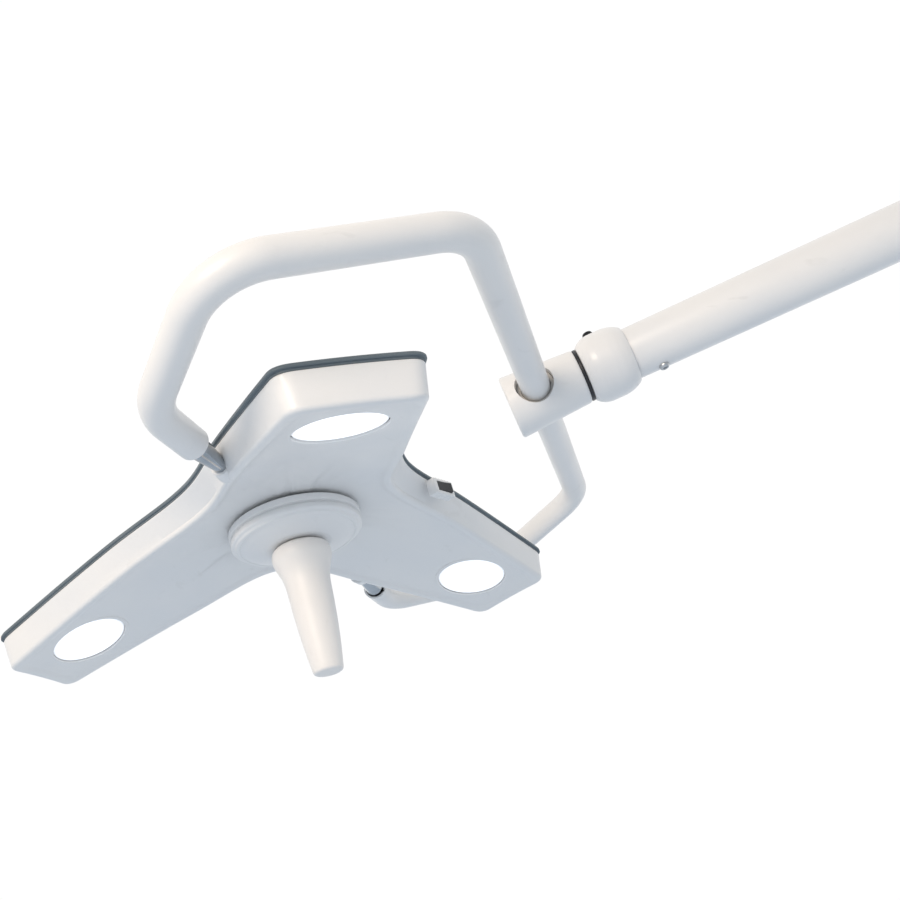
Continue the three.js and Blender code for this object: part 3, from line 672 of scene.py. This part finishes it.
LOBES = {1: 300, 2: 180, 3: 60}
LENS_REACH = 0.225
LENS_TILT = 0.274
LENS_PLACES = {}
windows = bmesh.new()
for number, degrees in LOBES.items():
    place = (Matrix.Rotation(math.radians(degrees), 4, "Z") @ Matrix.Translation((LENS_REACH, 0, 0))
             @ Matrix.Rotation(LENS_TILT, 4, "Y"))
    LENS_PLACES[number] = place
    add_spun(windows, [(0, -20), (35, -20), (35, 15), (0, 15)], place, 0.01, 96)
head_plastic = moulded("head_plastic", (0.80, 0.79, 0.775), (0.765, 0.765, 0.765), 0.36, 520.0)
shell = cut_away(shell, windows)
for place in LENS_PLACES.values():
    add_spun(shell, [(34.9, -2.9), (38.0, -2.9), (39.2, -1.2), (34.9, -1.2)], place, 0.6, 96)
TILT_AXIS = (0.0065, 0, 0.0265)
for side in (-1, 1):
    boss = Matrix.Translation(TILT_AXIS) @ Matrix.Rotation(-side * math.pi / 2, 4, "X")
    add_spun(shell, [(5.8, 148), (9.5, 148), (8.2, 161), (5.8, 161)], boss, 0.6, 64)
shell.transform(HEAD)
mesh_piece("shell", shell, head_plastic, "head", ["head_shell"], 28)


# ---- Back gasket and cover ------------------------------------------------------------
# A dark rubber edging seals the shell's back edge and wraps the cover's lip. The cover is
# the same plastic as the shell and rises gently to the middle.
rubber = moulded("gasket_rubber", (0.11, 0.14, 0.16), (0.15, 0.18, 0.20), 0.55, 900.0)
EDGING = ((-3, 0.05), (2.0, 0.05), (2.6, 0.5), (2.6, 1.6), (2.8, 2.1), (3.9, 2.4), (4.5, 3.0), (4.5, 4.6),
          (4.0, 5.5), (3.0, 5.95), (2.1, 5.95), (1.9, 5.6), (1.9, 2.2), (-3, 2.0))
gasket = bmesh.new()
rings = [raised(back_outline(grow), lambda r, lift=lift: back_height(r) + lift) for grow, lift in EDGING]
loft(gasket, rings, True)
gasket.transform(HEAD)
mesh_piece("gasket", gasket, rubber, "head", ["back_gasket"])

cover_middle = [p * 0.05 for p in back_outline(0)]
cover_edge = back_outline(0.8)
rings = [between(cover_middle, cover_edge, share, lambda r: back_height(r) + 2.3)
         for share in (0, 0.3, 0.6, 0.85, 1.0)]
for grow, lift in ((1.6, 2.5), (1.8, 3.0), (1.8, 5.2), (1.3, 5.8), (0.4, 6.0)):
    rings.append(raised(back_outline(grow), lambda r, lift=lift: back_height(r) + lift))
for share in (0.95, 0.85, 0.72, 0.55, 0.35, 0.15, 0):
    rings.append(between(cover_middle, back_outline(0.0), share, lambda r: back_height(r) + 6))
cover = bmesh.new()
loft(cover, rings, False)
cover.transform(HEAD)
mesh_piece("cover", cover, head_plastic, "head", ["back_cover"], 30)


# ---- Lamps ----------------------------------------------------------------------------
# Each lobe has a clear domed window with a fine prismatic inside, lit by the chips behind
# it, and held by a thin flange.
def glowing(name):
    """Clear window lit from behind: bright in the middle of each facet, a little dimmer between them."""
    recipe = Recipe(name, (0.95, 0.965, 1.0), 0.12)
    facets = recipe.tree.nodes.new("ShaderNodeTexVoronoi")
    facets.inputs["Scale"].default_value = 260.0
    recipe.tree.links.new(recipe.coords, facets.inputs["Vector"])
    recipe.mottle(recipe.noise(25.0, 4.0), (0.9, 0.93, 0.98))
    recipe.rough(recipe.noise(40.0, 4.0), 0.05)
    recipe.bump(facets.outputs["Distance"], 0.0006, 0.35)
    recipe.shader.inputs["Emission Color"].default_value = (0.97, 0.985, 1.0, 1)
    glow = recipe.ramp(facets.outputs["Distance"], 0.9, 1.2, 0.0, 0.6)
    rim = recipe.tree.nodes.new("ShaderNodeAttribute")
    rim.attribute_name = "rim"
    fade = recipe.tree.nodes.new("ShaderNodeMath")
    fade.operation = "MULTIPLY"
    recipe.tree.links.new(glow, fade.inputs[0])
    recipe.tree.links.new(recipe.ramp(rim.outputs["Fac"], 1.0, 0.15, 0.84, 1.0), fade.inputs[1])
    recipe.tree.links.new(fade.outputs["Value"], recipe.shader.inputs["Emission Strength"])
    recipe.shader.inputs["Coat Weight"].default_value = 0.6
    recipe.shader.inputs["Coat Roughness"].default_value = 0.05
    return recipe.material


WINDOW_RADIUS = 34.4
DOME_RISE = 1.9
lit_window = glowing("lit_window")
for number, place in LENS_PLACES.items():
    arc = [k / 14 * math.pi / 2 for k in range(15)]
    dome = [(WINDOW_RADIUS * math.sin(a), -0.6 - DOME_RISE * math.cos(a)) for a in arc]
    flange = [(WINDOW_RADIUS, 2.8), (37.9, 2.8), (37.9, 4.8), (0, 4.8)]
    window = spun(dome + flange, Matrix.Identity(4), 0.2, 96)
    rim = window.verts.layers.float.new("rim")
    for v in window.verts:
        v[rim] = math.hypot(v.co.x, v.co.y) * 1000 / WINDOW_RADIUS
    window.transform(HEAD @ place)
    mesh_piece(f"window_{number}", window, lit_window, "head", [f"lens_{number}"], 40)


# ---- Handle ---------------------------------------------------------------------------
# A stepped drum in the head's plastic carries the grip. The grip is a matt, heat-proof
# moulding with a flared shoulder, and it pulls off its spindle to be sterilised.
DRUM_RADIUS = 61
drum_top = dish_height(DRUM_RADIUS) - 0.05 * DRUM_RADIUS - 0.3
drum = spun([(8.6, 13), (30, 13), (46, 16.5), (52.6, 18.9), (53.4, 18.3), (56.2, 18.9), (57.2, 20.5),
             (59.4, 21.4), (60.3, 22.6), (60.3, 26), (58.2, 26.8), (58.2, 28.2), (DRUM_RADIUS, 29),
             (DRUM_RADIUS, drum_top - 1),
             (59, drum_top), (8.6, drum_top)], HEAD, 0.8, 144)
mesh_piece("drum", drum, head_plastic, "head", ["handle_drum"], 20)

grip_plastic = moulded("grip_plastic", (0.83, 0.80, 0.765), (0.80, 0.775, 0.75), 0.46, 450.0)
grip = spun([(0, -107), (10.4, -107), (13.2, -105.6), (14.4, -97), (15.6, -88), (17.2, -73), (18.4, -58),
             (19.3, -43), (19.9, -28), (20.5, -21), (21.9, -14.5), (24.6, -7), (26.8, -1), (27.2, 4), (26, 9),
             (22.5, 11.6), (18, 12.6), (8.35, 12.6), (8.35, -61), (0, -61)], HEAD, 2.4, 128)
mesh_piece("grip", grip, grip_plastic, "handle", ["handle_grip"], 40)


# ---- Tilt pivots ----------------------------------------------------------------------
# Polished steel cones screwed into the shell's bosses, wide end outwards; their journals
# turn in the yoke's open ends.
polished = machined("polished_steel", (0.50, 0.53, 0.56), 0.16, 1.0, (10, 1, 10))
for side, node in ((-1, "tilt_pivot_near"), (1, "tilt_pivot_far")):
    profile = [(0, 157), (5.6, 157), (6.2, 164), (9.1, 197), (9.4, 198.2), (9.4, 201.7), (5, 201.7),
               (5, 229), (0, 229)]
    place = HEAD @ Matrix.Translation(TILT_AXIS) @ Matrix.Rotation(-side * math.pi / 2, 4, "X")
    mesh_piece(f"cone_{node}", spun(profile, place, 0.4, 96), polished, "head", [node])


# ---- Switch ---------------------------------------------------------------------------
# A small ribbed housing in the head's plastic sits under the cover's lip by the wall-side
# notch, with a pocket for its rocker.
low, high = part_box("switch_housing")
SWITCH_TURN = math.radians(24)
SWITCH = (Matrix.Translation((low + high) / 2) @ Matrix.Rotation(-HEAD_RISE, 4, "Y")
          @ Matrix.Rotation(-SWITCH_TURN, 4, "Z"))
housing = bmesh.new()
add_box(housing, (-4.9, -13.9, -7.9), (4.9, 13.9, 7.9), 1.2)
pocket = bmesh.new()
add_box(pocket, (1.5, -10, -5), (9, 10, 5), 0.0)
housing = cut_away(housing, pocket)
for k in range(5):
    y = -9 + 4.5 * k
    add_box(housing, (-4.4, y - 0.7, -8.3), (4.4, y + 0.7, 8.3), 0.4)
housing.transform(SWITCH)
mesh_piece("switch_case", housing, head_plastic, "head", ["switch_housing"])


# ---- Carried-over pieces --------------------------------------------------------------
# Bushes, clips, boards, sinks and the rest that sit inside or show only edge-on: metal,
# nylon and board finishes by the record's slot.
reflector_finish = machined("reflector_finish", (0.86, 0.88, 0.9), 0.1, 1.0, (1, 1, 1))
board_finish = moulded("board_finish", (0.02, 0.12, 0.06), (0.03, 0.15, 0.08), 0.4, 300.0)
FINISHES = {"painted_metal": arm_coat, "head_plastic": head_plastic, "handle_plastic": grip_plastic,
            "turned_steel": screw_steel, "alloy": alloy, "black_plastic": black, "black_oxide": oxide,
            "gasket_rubber": rubber, "bearing_nylon": nylon, "lens_clear": lit_window,
            "reflector": reflector_finish, "circuit_board": board_finish}
for name, node in frame["nodes"].items():
    slot_name = node.data.materials[0].name.split(".")[0]
    node.data.materials.clear()
    node.data.materials.append(FINISHES[slot_name])
